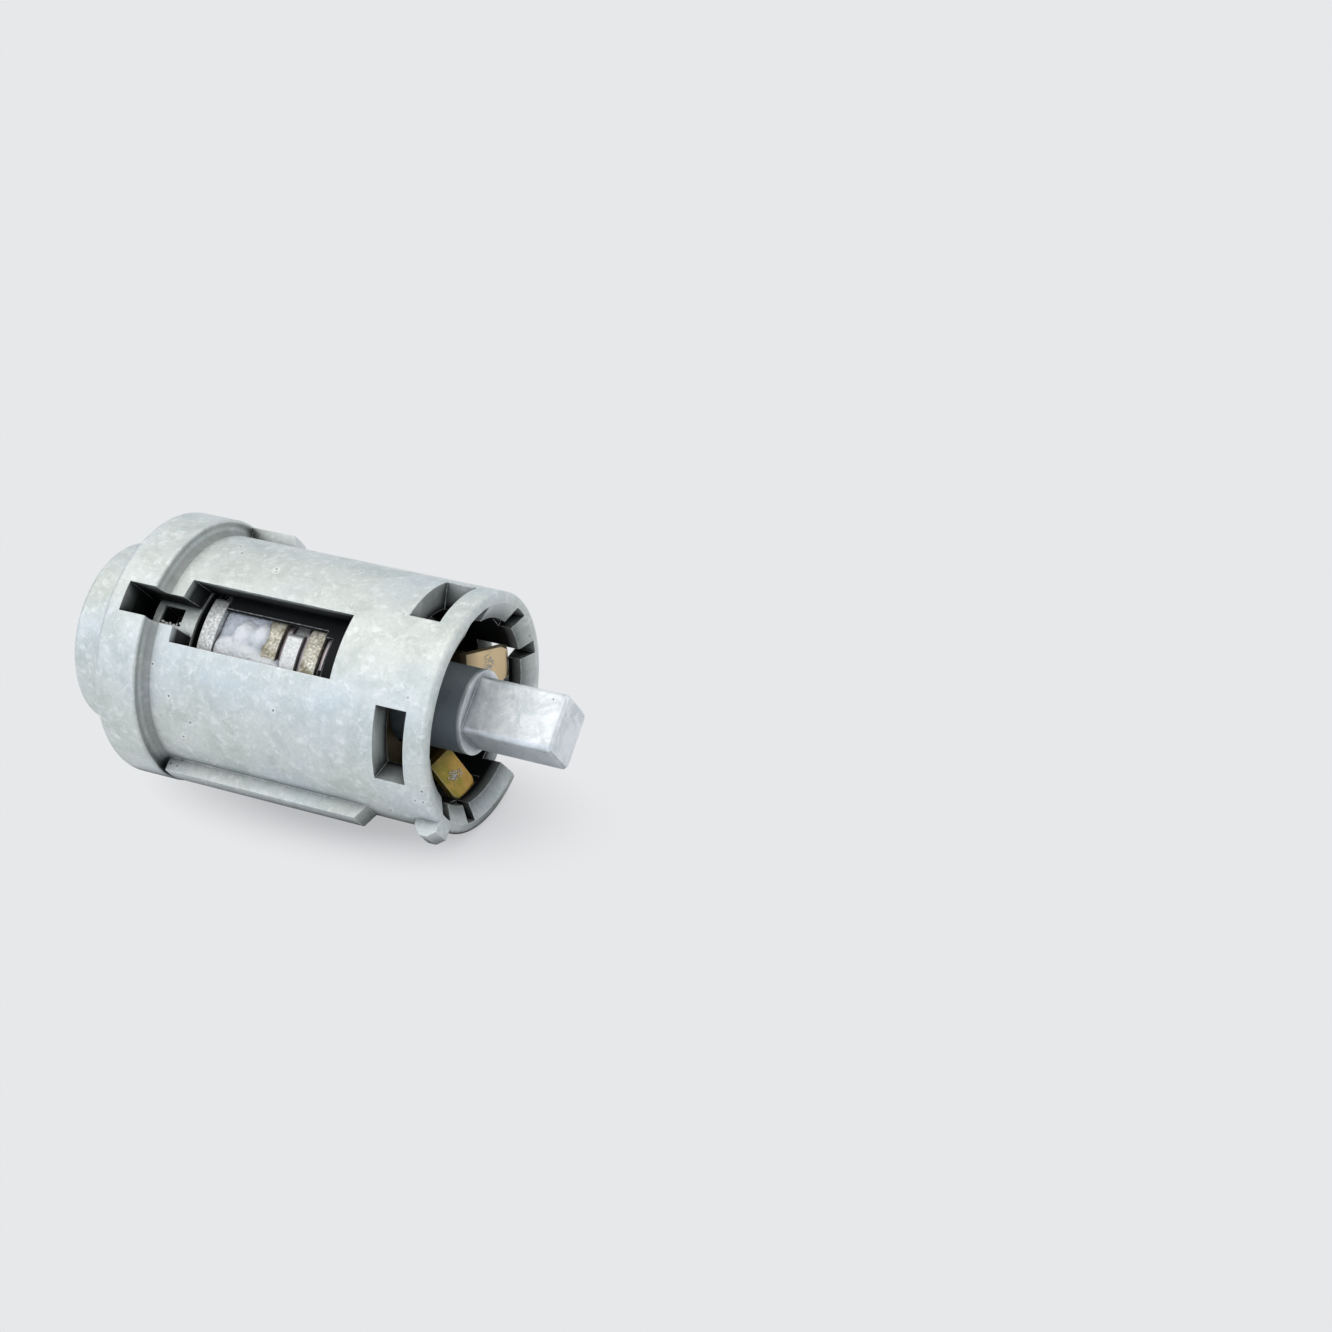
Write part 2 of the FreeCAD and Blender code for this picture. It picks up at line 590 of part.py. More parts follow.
def make_sidebar():
    """The locking bar with a chamfered nose and thinner end tabs, out in the cam groove."""
    half = SIDEBAR_WIDTH / 2
    outline = [
        Vector(sidebar_start, -half, sidebar_tab_floor),
        Vector(sidebar_start, half, sidebar_tab_floor),
        Vector(sidebar_start, half, sidebar_top - SIDEBAR_NOSE_CHAMFER),
        Vector(sidebar_start, half - SIDEBAR_NOSE_CHAMFER, sidebar_top),
        Vector(sidebar_start, SIDEBAR_NOSE_CHAMFER - half, sidebar_top),
        Vector(sidebar_start, -half, sidebar_top - SIDEBAR_NOSE_CHAMFER),
    ]
    bar = Part.Face(Part.makePolygon(outline + outline[:1])).extrude(Vector(sidebar_end - sidebar_start, 0, 0))
    foot_start = FRONT_WALL_END + SIDEBAR_END_GAP
    foot_end = pack_seat - SIDEBAR_END_GAP
    bar = turned(bar, 180).fuse(block(foot_start, foot_end, SIDEBAR_WIDTH, sidebar_foot, sidebar_tab_floor, 180))
    return bar.removeSplitter()


def make_sidebar_spring(x):
    """A short coil in its well, under a tab of the sidebar."""
    length = sidebar_tab_floor - spring_seat_floor
    spring = coil_spring(SIDEBAR_SPRING_RADIUS, SIDEBAR_SPRING_WIRE, length, SIDEBAR_SPRING_TURNS)
    spring.translate(Vector(x, 0, spring_seat_floor))
    return turned(spring, 180)


def make_tail_driver():
    """Base disc with a tongue into the plug, round shaft and rectangular tail."""
    tongue = block(rear_wall_end - TONGUE_DEPTH, rear_wall_end, TONGUE_WIDTH, -TONGUE_LENGTH / 2,
                   TONGUE_LENGTH / 2, 90)
    tail = block(shaft_end, tail_end, TAIL_WIDTH, -TAIL_HEIGHT / 2, TAIL_HEIGHT / 2)
    tail = tail.makeFillet(TAIL_CORNER, edges_along(tail))
    end_face = max(tail.Faces, key=lambda face: face.CenterOfMass.x)
    tail = tail.makeChamfer(TAIL_END_CHAMFER, end_face.Edges)
    driver = rod(TAIL_BASE_RADIUS, rear_wall_end, tail_base_end)
    return driver.fuse([tongue, rod(SHAFT_RADIUS, tail_base_end, shaft_end), tail]).removeSplitter()


def make_thrust_washer():
    """The plain washer between the tail driver's base and the clip."""
    return tube(TAIL_BASE_RADIUS, CLIP_BORE_RADIUS, washer_start, washer_end)


def make_retaining_clip():
    """The sheet clip: a ring behind the plug and two fingers that flare into the rear windows."""
    run = math.hypot(finger_tip_x - finger_bend_x, FINGER_TIP_RADIUS - FINGER_RADIUS)
    along_x = (finger_tip_x - finger_bend_x) / run
    along_r = (FINGER_TIP_RADIUS - FINGER_RADIUS) / run
    outer = FINGER_RADIUS + CLIP_SHEET
    to_bend = (CLIP_SHEET - CLIP_SHEET * along_x) / along_r
    outer_bend_x = finger_bend_x - CLIP_SHEET * along_r + to_bend * along_x
    outline = [
        (clip_start, FINGER_RADIUS),
        (finger_bend_x, FINGER_RADIUS),
        (finger_tip_x, FINGER_TIP_RADIUS),
        (finger_tip_x - CLIP_SHEET * along_r, FINGER_TIP_RADIUS + CLIP_SHEET * along_x),
        (outer_bend_x, outer),
        (clip_start, outer),
    ]
    half = FINGER_WIDTH / 2
    corner = half - FINGER_CORNER
    plan = [
        Vector(clip_start, -half, 0),
        Vector(finger_tip_x - FINGER_CORNER, -half, 0),
        Vector(finger_tip_x, -corner, 0),
        Vector(finger_tip_x, corner, 0),
        Vector(finger_tip_x - FINGER_CORNER, half, 0),
        Vector(clip_start, half, 0),
    ]
    seen_from_outside = Part.Face(Part.makePolygon(plan + plan[:1])).extrude(Vector(0, 0, BODY_RADIUS))
    finger = across(outline, FINGER_WIDTH).common(seen_from_outside)
    clip = tube(CLIP_RING_RADIUS, CLIP_BORE_RADIUS, clip_start, clip_end)
    for bearing in FINGER_BEARINGS:
        clip = clip.fuse(turned(finger, bearing))
    return clip.removeSplitter()


def all_parts():
    """Every piece by its name, drawn with the window straight up."""
    parts = {
        "barrel_housing": make_barrel_housing(),
        "plug": make_plug(),
        "face_cap": make_face_cap(),
        "keyway_shutter": make_keyway_shutter(),
        "shutter_pin": make_shutter_pin(),
        "shutter_spring": make_shutter_spring(),
        "pack_washer": make_pack_washer(),
        "sidebar": make_sidebar(),
        "tail_driver": make_tail_driver(),
        "thrust_washer": make_thrust_washer(),
        "retaining_clip": make_retaining_clip(),
    }
    for index in range(DISC_COUNT):
        parts[f"disc_{index + 1}"] = make_disc(index)
    for index in range(DISC_COUNT - 1):
        parts[f"spacer_{index + 1}"] = make_spacer(index)
    for name, x in sidebar_spring_places.items():
        parts[name] = make_sidebar_spring(x)
    return parts


def main():
    """Builds every piece, rolls it as the barrel lies and writes it."""
    os.makedirs("parts", exist_ok=True)
    for name, shape in all_parts().items():
        rolled = turned(shape, LIE_ANGLE)
        if not rolled.isValid():
            raise RuntimeError(f"{name} is not a valid solid")
        rolled.exportStep(f"parts/{name}.step")
        print(f"{name}: {len(rolled.Solids)} solid, {rolled.Volume:.1f} mm3")


main()
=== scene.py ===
"""Dresses the lock barrel: die-cast housing and plug, stamped discs, grease, yellow clip and drive tail."""

import json
import math
import random

import bmesh
import bpy
from mathutils import Matrix, Vector, noise


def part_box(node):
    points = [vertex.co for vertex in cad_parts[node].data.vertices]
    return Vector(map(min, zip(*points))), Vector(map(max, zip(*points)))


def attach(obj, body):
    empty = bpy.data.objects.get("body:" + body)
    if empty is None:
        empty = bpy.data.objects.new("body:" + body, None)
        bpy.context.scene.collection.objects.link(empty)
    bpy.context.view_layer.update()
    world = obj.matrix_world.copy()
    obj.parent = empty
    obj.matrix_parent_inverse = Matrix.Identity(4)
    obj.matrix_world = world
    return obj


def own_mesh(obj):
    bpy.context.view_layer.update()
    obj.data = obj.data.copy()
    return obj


bl_info = {
    "name": "Lock Barrel",
    "version": (1, 0, 0),
    "blender": (4, 5, 0),
    "location": "View3D > Sidebar > Lock Barrel",
    "description": "Finishes and small pieces for a disc lock barrel",
    "category": "Object",
}

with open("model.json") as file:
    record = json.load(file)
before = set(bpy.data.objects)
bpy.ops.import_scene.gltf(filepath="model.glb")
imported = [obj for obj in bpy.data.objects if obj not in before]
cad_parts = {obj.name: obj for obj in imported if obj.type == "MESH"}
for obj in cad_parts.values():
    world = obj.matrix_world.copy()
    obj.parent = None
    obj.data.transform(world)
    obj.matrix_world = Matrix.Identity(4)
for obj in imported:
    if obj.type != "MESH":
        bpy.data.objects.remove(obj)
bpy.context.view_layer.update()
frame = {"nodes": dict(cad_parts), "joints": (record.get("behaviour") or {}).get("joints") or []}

# One millimetre in the scene's metres
MM = 0.001


# Places worked out from the frame


def find_joint(name):
    """One of the frame's joints."""
    for joint in frame["joints"]:
        if joint["name"] == name:
            return joint
    raise RuntimeError(f"the frame has no joint {name}")


# The sidebar slides in along the bearing of the side window's middle
SLIDE_AXIS = Vector(find_joint("sidebar_slide")["axis"])

# The angle about X from straight up to the middle of the side window, in radians
WINDOW_BEARING = math.atan2(-SLIDE_AXIS.y, SLIDE_AXIS.z)


def spot(x, radius, bearing):
    """The point at that distance from the axis, on a bearing in degrees from the window's middle."""
    angle = WINDOW_BEARING + math.radians(bearing)
    return Vector((x, -radius * math.sin(angle), radius * math.cos(angle)))


def reach(node, axis):
    """The lowest and highest place of a node along X, Y or Z, given as 0, 1 or 2."""
    low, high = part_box(node)
    return low[axis], high[axis]


PLUG_RADIUS = (reach("plug", 1)[1] - reach("plug", 1)[0]) / 2
RIM_END = reach("barrel_housing", 0)[1]
FLANGE_BOTTOM = reach("barrel_housing", 2)[0]

# Sizes of the castings, from the part's drawing
BODY_RADIUS = 12.5 * MM
WINDOW_END = 21.2 * MM
PLUG_LAND_END = 3.8 * MM
FLANGE_FRONT = -4.8 * MM


def find_rim_bottom():
    """The lowest place of the housing near its rim."""
    corners = frame["nodes"]["barrel_housing"].data.vertices
    return min(corner.co.z for corner in corners if corner.co.x > 0.9 * RIM_END)


def find_face(node, x, bearing):
    """Where a line from the axis meets a node, and that face's normal."""
    met, place, normal, index = frame["nodes"][node].ray_cast(Vector((x, 0, 0)), spot(0, 1, bearing))
    if not met:
        raise RuntimeError(f"no face of {node} on bearing {bearing}")
    return place, normal


# Colours and nodes


def linear(hex_colour):
    """An sRGB hex colour as linear red, green and blue."""
    channels = []
    for place in (1, 3, 5):
        value = int(hex_colour[place:place + 2], 16) / 255
        channels.append(value / 12.92 if value <= 0.04045 else ((value + 0.055) / 1.055) ** 2.4)
    return channels


def opaque(colour):
    """A colour with full alpha, as a node socket takes it."""
    return (*colour, 1.0)


def per_metre(millimetres):
    """The pattern scale whose features are that many millimetres apart."""
    return 1.0 / (millimetres * MM)


def add_node(tree, kind, inputs=None, **settings):
    """Adds one node, sets its properties, and fills its inputs with values or links.

    A node that is given for an input stands for its first output.
    """
    node = tree.nodes.new(kind)
    for name, value in settings.items():
        setattr(node, name, value)
    for entry, value in (inputs or {}).items():
        if isinstance(value, bpy.types.Node):
            value = value.outputs[0]
        if isinstance(value, bpy.types.NodeSocket):
            tree.links.new(value, node.inputs[entry])
        else:
            node.inputs[entry].default_value = value
    return node


# Steps that the finishes share


def new_material(name):
    """An empty node material, its tree and its object coordinates."""
    material = bpy.data.materials.new(name)
    material.use_nodes = True
    tree = material.node_tree
    tree.nodes.clear()
    return material, tree, add_node(tree, "ShaderNodeTexCoord").outputs["Object"]


def barrel_place(tree, place):
    """How far along the barrel a point lies, and how far from the barrel's axis."""
    along = add_node(tree, "ShaderNodeSeparateXYZ", {"Vector": place}).outputs["X"]
    across = add_node(tree, "ShaderNodeVectorMath", {0: place, 1: (0.0, 1.0, 1.0)}, operation="MULTIPLY")
    away = add_node(tree, "ShaderNodeVectorMath", {0: across}, operation="LENGTH").outputs["Value"]
    return along, away


def coated(tree, under, over, pattern, start=0.0, end=1.0, most=1.0):
    """A colour laid over another as a pattern goes from its start to its end, covering at most that share."""
    cover = add_node(tree, "ShaderNodeMapRange", {
        "Value": pattern, "From Min": start, "From Max": end, "To Max": most,
    })
    return add_node(tree, "ShaderNodeMix", {0: cover, 6: under, 7: opaque(over)}, data_type="RGBA").outputs[2]


def share_within(tree, *ranges):
    """How far several patterns are into their ranges at once, as a product of shares.

    Each range is a pattern, its start and its end, and may add the shares there in place of 0 and 1.
    """
    share = 1.0
    for pattern, start, end, *spread in ranges:
        least, most = spread or (0.0, 1.0)
        rise = add_node(tree, "ShaderNodeMapRange", {
            "Value": pattern, "From Min": start, "From Max": end, "To Min": least, "To Max": most,
        })
        share = add_node(tree, "ShaderNodeMath", {0: share, 1: rise}, operation="MULTIPLY")
    return share


def weighted_sum(tree, *parts):
    """Patterns added up, each times its weight."""
    total = 0.0
    for pattern, weight in parts:
        total = add_node(tree, "ShaderNodeMath", {0: pattern, 1: weight, 2: total}, operation="MULTIPLY_ADD")
    return total


def worn_edges(tree, radius, sharpness):
    """How near a surface point is to an edge, from 0 to 1, and its normal softened over that radius in mm."""
    softened = add_node(tree, "ShaderNodeBevel", {"Radius": radius * MM}, samples=4)
    flat = add_node(tree, "ShaderNodeNewGeometry").outputs["Normal"]
    likeness = add_node(tree, "ShaderNodeVectorMath", {0: softened, 1: flat}, operation="DOT_PRODUCT")
    edge = add_node(tree, "ShaderNodeMapRange", {
        "Value": likeness.outputs["Value"], "From Min": 1.0, "From Max": 1.0 - sharpness,
    })
    return edge, softened


def hidden_share(tree, distance, open_share, closed_share, normal):
    """How closed in a surface point is within that many mm, from 0 in the open to 1 deep inside."""
    sky = add_node(tree, "ShaderNodeAmbientOcclusion", {
        "Distance": distance * MM, "Normal": normal,
    }, samples=6)
    return add_node(tree, "ShaderNodeMapRange", {
        "Value": sky.outputs["AO"], "From Min": open_share, "From Max": closed_share,
    })


def finish_metal(tree, colour, metal_share, rough, relief, gloss=0.5):
    """Ends a material as metal. Its relief is a height pattern, a strength, a depth in mm and a normal."""
    height, strength, depth, normal = relief
    bump = add_node(tree, "ShaderNodeBump", {
        "Strength": strength, "Distance": depth * MM, "Height": height, "Normal": normal,
    })
    metal = add_node(tree, "ShaderNodeBsdfPrincipled", {
        "Base Color": colour, "Metallic": metal_share, "Roughness": rough, "Specular IOR Level": gloss,
        "Normal": bump,
    })
    add_node(tree, "ShaderNodeOutputMaterial", {"Surface": metal})


# Where painted shade darkens the castings, by place


def housing_bore(tree, along, away):
    """Painted shade on the window's cut walls, on what lies behind the rear windows, and in the valley behind
    the flange.
    """
    darkest = add_node(tree, "ShaderNodeMapRange", {
        "Value": along, "From Min": WINDOW_END, "From Max": WINDOW_END + 3 * MM,
        "To Min": 0.935 * BODY_RADIUS, "To Max": 0.80 * BODY_RADIUS,
    })
    inward = share_within(
        tree,
        # From just under the skin down to that radius
        (away, 0.99 * BODY_RADIUS, darkest),
        # Not on the collar in front of the flange
        (along, FLANGE_FRONT, FLANGE_FRONT + 0.5 * MM),
        # Half as much at the rim's end
        (along, RIM_END - 0.3 * MM, RIM_END - 2.0 * MM, 0.5, 1.0),
        # Quite all of it only deep inside
        (away, 0.88 * BODY_RADIUS, 0.78 * BODY_RADIUS, 0.93, 1.0),
    )
    # Painted shade in the valley behind the flange's shoulder
    flange_valley_shade = share_within(
        tree,
        # The short stretch behind the flange's shoulder
        (along, 0.0, 0.2 * MM),
        (along, 1.0 * MM, 0.85 * MM),
        # Below the tops of the ribs
        (away, 1.1 * BODY_RADIUS, 1.07 * BODY_RADIUS, 0.0, 0.45),
    )
    return add_node(tree, "ShaderNodeMath", {0: inward, 1: flange_valley_shade}, operation="MAXIMUM")


def plug_depths(tree, along, away):
    """Painted shade on what lies below the plug's land and behind it."""
    inward = share_within(tree, (away, 0.99 * PLUG_RADIUS, 0.95 * PLUG_RADIUS))
    behind = share_within(tree, (along, PLUG_LAND_END, PLUG_LAND_END + 0.5 * MM))
    return add_node(tree, "ShaderNodeMath", {0: inward, 1: behind}, operation="MAXIMUM")


def tail_root(tree, along, away):
    """Painted shade on the tail's round root inside the rim, and on a little of its lower side."""
    facing = add_node(tree, "ShaderNodeTexCoord").outputs["Normal"]
    upward = add_node(tree, "ShaderNodeSeparateXYZ", {"Vector": facing}).outputs["Z"]
    underside_shade = share_within(tree, (upward, 0.1, -0.3, 0.0, 0.5))
    root = share_within(tree, (along, RIM_END - 0.5 * MM, RIM_END - 1.0 * MM))
    return add_node(tree, "ShaderNodeMath", {0: underside_shade, 1: root}, operation="MAXIMUM")


# Materials


def die_cast_zinc(name, settings, find_dark, gloom, hollow):
    """Zinc alloy, pressure die cast and left bare, with painted shade inside and in its corners.

    To the eye it is a pale satin metal with crisp cloudy oxide patches, a fine skin grain, pale specks and
    a few pits. Its rubbed and chipped edges are bright, and painted shade makes the rest nearly black inside.
    The shaded places come from find_dark and from hollows of that many millimetres, and gloom is how dark
    they get.
    """
    material, tree, place = new_material(name)
    along, away = barrel_place(tree, place)
    clouds = add_node(tree, "ShaderNodeTexNoise", {
        "Vector": place, "Scale": per_metre(settings.cloud_size), "Detail": 8.0, "Roughness": 0.66,
        "Distortion": 0.5,
    })
    blotches = add_node(tree, "ShaderNodeTexNoise", {
        "Vector": place, "Scale": per_metre(settings.cloud_size * 0.3), "Detail": 6.0, "Roughness": 0.7,
        "Distortion": 0.6,
    })
    broad = add_node(tree, "ShaderNodeTexNoise", {
        "Vector": place, "Scale": per_metre(settings.cloud_size * 2.2), "Detail": 3.0, "Roughness": 0.5,
    })
    skin = add_node(tree, "ShaderNodeTexNoise", {
        "Vector": place, "Scale": per_metre(settings.grain_size), "Detail": 4.0, "Roughness": 0.75,
    })
    cells = add_node(tree, "ShaderNodeTexVoronoi", {
        "Vector": place, "Scale": per_metre(settings.pit_gap), "Randomness": 1.0,
    })
    pitted = add_node(tree, "ShaderNodeTexNoise", {
        "Vector": place, "Scale": per_metre(settings.pit_gap * 3.0), "Detail": 2.0, "Roughness": 0.6,
    })

    # The cast skin
    colour = coated(tree, opaque(settings.shade), settings.colour, clouds, 0.41, 0.56)
    colour = coated(tree, colour, settings.tint, broad, 0.46, 0.62, most=0.45)
    colour = coated(tree, colour, settings.oxide, blotches, 0.52, 0.66, most=0.55)
    speck = share_within(tree, (cells, 0.3, 0.2), (clouds, 0.44, 0.54))
    colour = coated(tree, colour, settings.oxide, speck, most=0.4)
    brightness = share_within(tree, (skin, 0.3, 0.7, 0.92, 1.06))
    colour = add_node(tree, "ShaderNodeVectorMath", {0: colour, "Scale": brightness}, operation="SCALE")

    # Bright worn edges, and painted shade in the corners between them
    edge, softened = worn_edges(tree, radius=0.12, sharpness=0.06)
    chipped = share_within(tree, (edge, 0.0, 1.0), (skin, 0.36, 0.58, 0.25, 1.0))
    colour = coated(tree, colour, settings.rubbed, chipped)
    corner = hidden_share(tree, min(1.8, hollow), 0.9, 0.5, softened)
    corner_shade = share_within(tree, (corner, 0.0, 1.0), (blotches, 0.25, 0.6, 0.6, 1.0))
    colour = coated(tree, colour, settings.pit_grime_and_painted_shade, corner_shade, most=0.75)

    # Painted shade inside, which chipped edges stay clear of, and real dark pits
    closed = hidden_share(tree, hollow, 0.70, 0.40, softened)
    dark = add_node(tree, "ShaderNodeMath", {0: closed, 1: find_dark(tree, along, away)}, operation="MAXIMUM")
    inside = share_within(tree, (dark, 0.0, 1.0, 0.0, gloom), (chipped, 0.0, 1.0, 1.0, 0.1))
    colour = coated(tree, colour, settings.dirt, inside)
    pit = share_within(tree, (cells, 0.1, 0.05), (pitted, 0.54, 0.57))
    colour = coated(tree, colour, settings.pit_grime_and_painted_shade, pit, most=0.8)

    height = weighted_sum(tree, (skin, 0.3), (blotches, 0.6), (pit, -0.8))
    satin = share_within(tree, (blotches, 0.35, 0.65, 0.34, 0.5))
    rough = weighted_sum(tree, (satin, 1.0), (inside, 0.2))
    metal_share = share_within(tree, (inside, 0.0, 1.0, settings.metal_share, 0.3 * settings.metal_share))
    gloss = share_within(tree, (inside, 0.0, 1.0, 0.5, 0.12))
    finish_metal(tree, colour, metal_share, rough, (height, 0.45, 0.10, softened), gloss)
    return material


def passivated_steel(name, settings):
    """Spring steel sheet, stamped, zinc plated and yellow passivated.

    To the eye it is a warm pale gold that drifts to olive and to orange-pink, with a soft metal sheen.
    """
    material, tree, place = new_material(name)
    sides = add_node(tree, "ShaderNodeSeparateXYZ", {"Vector": place}).outputs
    drift = add_node(tree, "ShaderNodeTexNoise", {
        "Vector": place, "Scale": per_metre(3.0), "Detail": 3.0, "Roughness": 0.5, "Distortion": 0.6,
    })
    stain = add_node(tree, "ShaderNodeTexNoise", {
        "Vector": place, "Scale": per_metre(0.9), "Detail": 6.0, "Roughness": 0.7,
    })
    colour = coated(tree, opaque(settings.olive), settings.gold, drift, 0.42, 0.6)
    colour = coated(tree, colour, settings.copper, stain, 0.5, 0.66, most=0.6)
    # Paler towards the far side of the barrel, from 3 to 6 mm out along Y
    colour = coated(tree, colour, settings.pale, sides["Y"], 3.0 * MM, 6.0 * MM, most=0.85)
    edge, softened = worn_edges(tree, radius=0.10, sharpness=0.15)
    colour = coated(tree, colour, settings.bare_edge, edge)
    # Painted shade in the hollows and deep inside the rim
    closed = hidden_share(tree, 5.0, 0.4, 0.1, softened)
    deep = share_within(tree, (sides["X"], RIM_END - 4.6 * MM, RIM_END - 6.4 * MM))
    dark = add_node(tree, "ShaderNodeMath", {0: closed, 1: deep}, operation="MAXIMUM")
    colour = coated(tree, colour, settings.dirt, dark, most=0.92)
    rough = share_within(tree, (stain, 0.3, 0.7, 0.3, 0.46))
    finish_metal(tree, colour, 0.6, rough, (stain, 0.35, 0.05, softened))
    return material


def stamped_disc_metal(name, main, fleck, dirt, coarse):
    """Brass or nickel-silver strip, fine blanked, whose cut edge shows.

    To the eye it is a torn edge, more granular the coarser it is: pale metal with bright flecks. Painted
    shade makes it dark in the gaps between plates.
    """
    material, tree, place = new_material(name)
    grains = add_node(tree, "ShaderNodeTexNoise", {
        "Vector": place, "Scale": per_metre(0.26), "Detail": 4.0, "Roughness": 0.8,
    })
    cloud = add_node(tree, "ShaderNodeTexNoise", {
        "Vector": place, "Scale": per_metre(1.3), "Detail": 4.0, "Roughness": 0.6,
    })
    colour = coated(tree, opaque(main), fleck, cloud, 0.38, 0.62)
    brightness = share_within(tree, (grains, 0.44, 0.62, 1.0 - 0.4 * coarse, 1.0 + 0.25 * coarse))
    colour = add_node(tree, "ShaderNodeVectorMath", {0: colour, "Scale": brightness}, operation="SCALE")
    edge, softened = worn_edges(tree, radius=0.10, sharpness=0.2)
    colour = coated(tree, colour, linear("#F3F2EC"), edge, most=0.6)
    # Painted shade in the gaps between the discs and plates
    gap = hidden_share(tree, 1.2, 0.62, 0.25, softened)
    colour = coated(tree, colour, dirt, gap, most=0.95)
    rough = share_within(tree, (grains, 0.3, 0.7, 0.5, 0.34))
    finish_metal(tree, colour, 0.65, rough, (grains, 0.8 * coarse, 0.06, softened))
    return material


def drawn_steel(name, main, dirt, rough, line_gap):
    """Plain steel, rolled or drawn and lightly oiled.

    To the eye it is a cool grey with fine lines across it and a soft bright reflection. The lines are drawn
    that many millimetres apart, coarser than real ones, so that they show.
    """
    material, tree, place = new_material(name)
    stretched = add_node(tree, "ShaderNodeMapping", {"Vector": place, "Scale": (1.0, 0.12, 0.12)})
    lines = add_node(tree, "ShaderNodeTexNoise", {
        "Vector": stretched, "Scale": per_metre(line_gap), "Detail": 3.0, "Roughness": 0.6,
    })
    cloud = add_node(tree, "ShaderNodeTexNoise", {
        "Vector": place, "Scale": per_metre(2.0), "Detail": 4.0, "Roughness": 0.6,
    })
    brightness = share_within(tree, (lines, 0.3, 0.7, 0.8, 1.15), (cloud, 0.3, 0.7, 0.9, 1.08))
    colour = add_node(tree, "ShaderNodeVectorMath", {0: main, "Scale": brightness}, operation="SCALE")
    softened = add_node(tree, "ShaderNodeBevel", {"Radius": 0.08 * MM}, samples=4)
    # Painted shade in the gaps and corners
    gap = hidden_share(tree, 1.2, 0.6, 0.2, softened)
    colour = coated(tree, colour, dirt, gap, most=0.9)
    finish_metal(tree, colour, 0.9, rough, (lines, 0.3, 0.02, softened))
    return material


def torn_zinc(name):
    """Fresh zinc where a burr or a punch has torn the surface.

    To the eye it is a nearly white, rough metal; the white is fresh zinc and also a painted glint.
    """
    material, tree, place = new_material(name)
    torn = add_node(tree, "ShaderNodeTexNoise", {
        "Vector": place, "Scale": per_metre(0.15), "Detail": 3.0, "Roughness": 0.7,
    })
    brightness = share_within(tree, (torn, 0.35, 0.65, 0.8, 1.0))
    # Near-white colour: fresh torn zinc, brightened as a painted glint
    fresh_zinc_and_glint = linear("#F7F8F8")
    colour = add_node(tree, "ShaderNodeVectorMath", {0: fresh_zinc_and_glint, "Scale": brightness}, operation="SCALE")
    flat = add_node(tree, "ShaderNodeNewGeometry").outputs["Normal"]
    finish_metal(tree, colour, 0.3, 0.3, (torn, 0.4, 0.03, flat))
    return material


def lithium_grease(name, settings):
    """White lithium grease, pushed into ridges between the discs.

    To the eye it is a wet, milky gel that lets a little light through, bluish and darker where it is thin.
    """
    material, tree, place = new_material(name)
    along, away = barrel_place(tree, place)
    cloud = add_node(tree, "ShaderNodeTexNoise", {
        "Vector": place, "Scale": per_metre(0.8), "Detail": 4.0, "Roughness": 0.6,
    })
    raised = share_within(tree, (away, GREASE_FILM * MM, (GREASE_FILM + 0.4) * MM))
    uneven = share_within(tree, (cloud, 0.35, 0.65, -0.2, 0.2))
    thick = weighted_sum(tree, (raised, 1.0), (uneven, 1.0))
    colour = coated(tree, opaque(settings.thin), settings.colour, thick)
    flat = add_node(tree, "ShaderNodeNewGeometry").outputs["Normal"]
    bump = add_node(tree, "ShaderNodeBump", {
        "Strength": 0.6, "Distance": 0.25 * MM, "Height": cloud, "Normal": flat,
    })
    gel = add_node(tree, "ShaderNodeBsdfPrincipled", {
        "Base Color": colour, "Roughness": 0.18, "Normal": bump,
        "Subsurface Weight": 0.3, "Subsurface Radius": (1.0, 1.0, 1.1), "Subsurface Scale": 0.5 * MM,
    })
    add_node(tree, "ShaderNodeOutputMaterial", {"Surface": gel})
    return material


# How the CAD nodes and the scene's own pieces take a finish


def dress(nodes, material):
    """Gives CAD nodes a finish and their material slot."""
    for name in nodes:
        piece = frame["nodes"][name]
        piece.data.materials.clear()
        piece.data.materials.append(material)


def new_piece(name, mesh, material, body):
    """Links a finished mesh to the scene and lets it ride on a body."""
    piece = bpy.data.objects.new(name, mesh)
    bpy.context.scene.collection.objects.link(piece)
    mesh.materials.append(material)
    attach(piece, body)


def press_down(spring):
    """Gives a spring of the sidebar a mesh of its own."""
    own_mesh(spring)


# Shapes that only the scene has

# The grease in the side window, in mm and degrees: x and bearing of two opposite corners and the steps of its
# grid, then how far from the axis are its underside, the foot of its ridges and its film
GREASE_LOW = (5.65, -14.0)
GREASE_HIGH = (13.4, 21.0)
GREASE_STEPS = (80, 56)
GREASE_UNDERSIDE = 7.8
GREASE_BASE = 8.0
GREASE_FILM = 8.72

# The film ends past the third disc, there and over about that length
FILM_END = 11.0
FILM_FALL = 0.12

# Each ridge: x, bearing, half length, half span and height over the base
GREASE_RIDGES = (
    (8.4, 2.0, 1.2, 11.0, 1.52),
    (10.4, -1.0, 0.95, 9.0, 1.46),
    (6.9, 13.0, 1.6, 10.0, 1.42),
    (9.3, 14.5, 1.9, 7.0, 1.48),
    (11.7, 17.0, 1.5, 5.5, 1.42),
    (12.9, 20.0, 0.8, 4.0, 1.20),
)

# How steep the ridges' sides are, and how closely film and ridges keep to the higher of them where they meet
RIDGE_STEEPNESS = 1.8
MELT_POWER = 6

# Waves in the grease: height, turns for each mm and each degree, and a place in the noise of its own
GREASE_WAVES = (
    (0.05, 1.3, 0.22, 0.0),
    (0.07, 3.1, 0.5, 4.0),
)


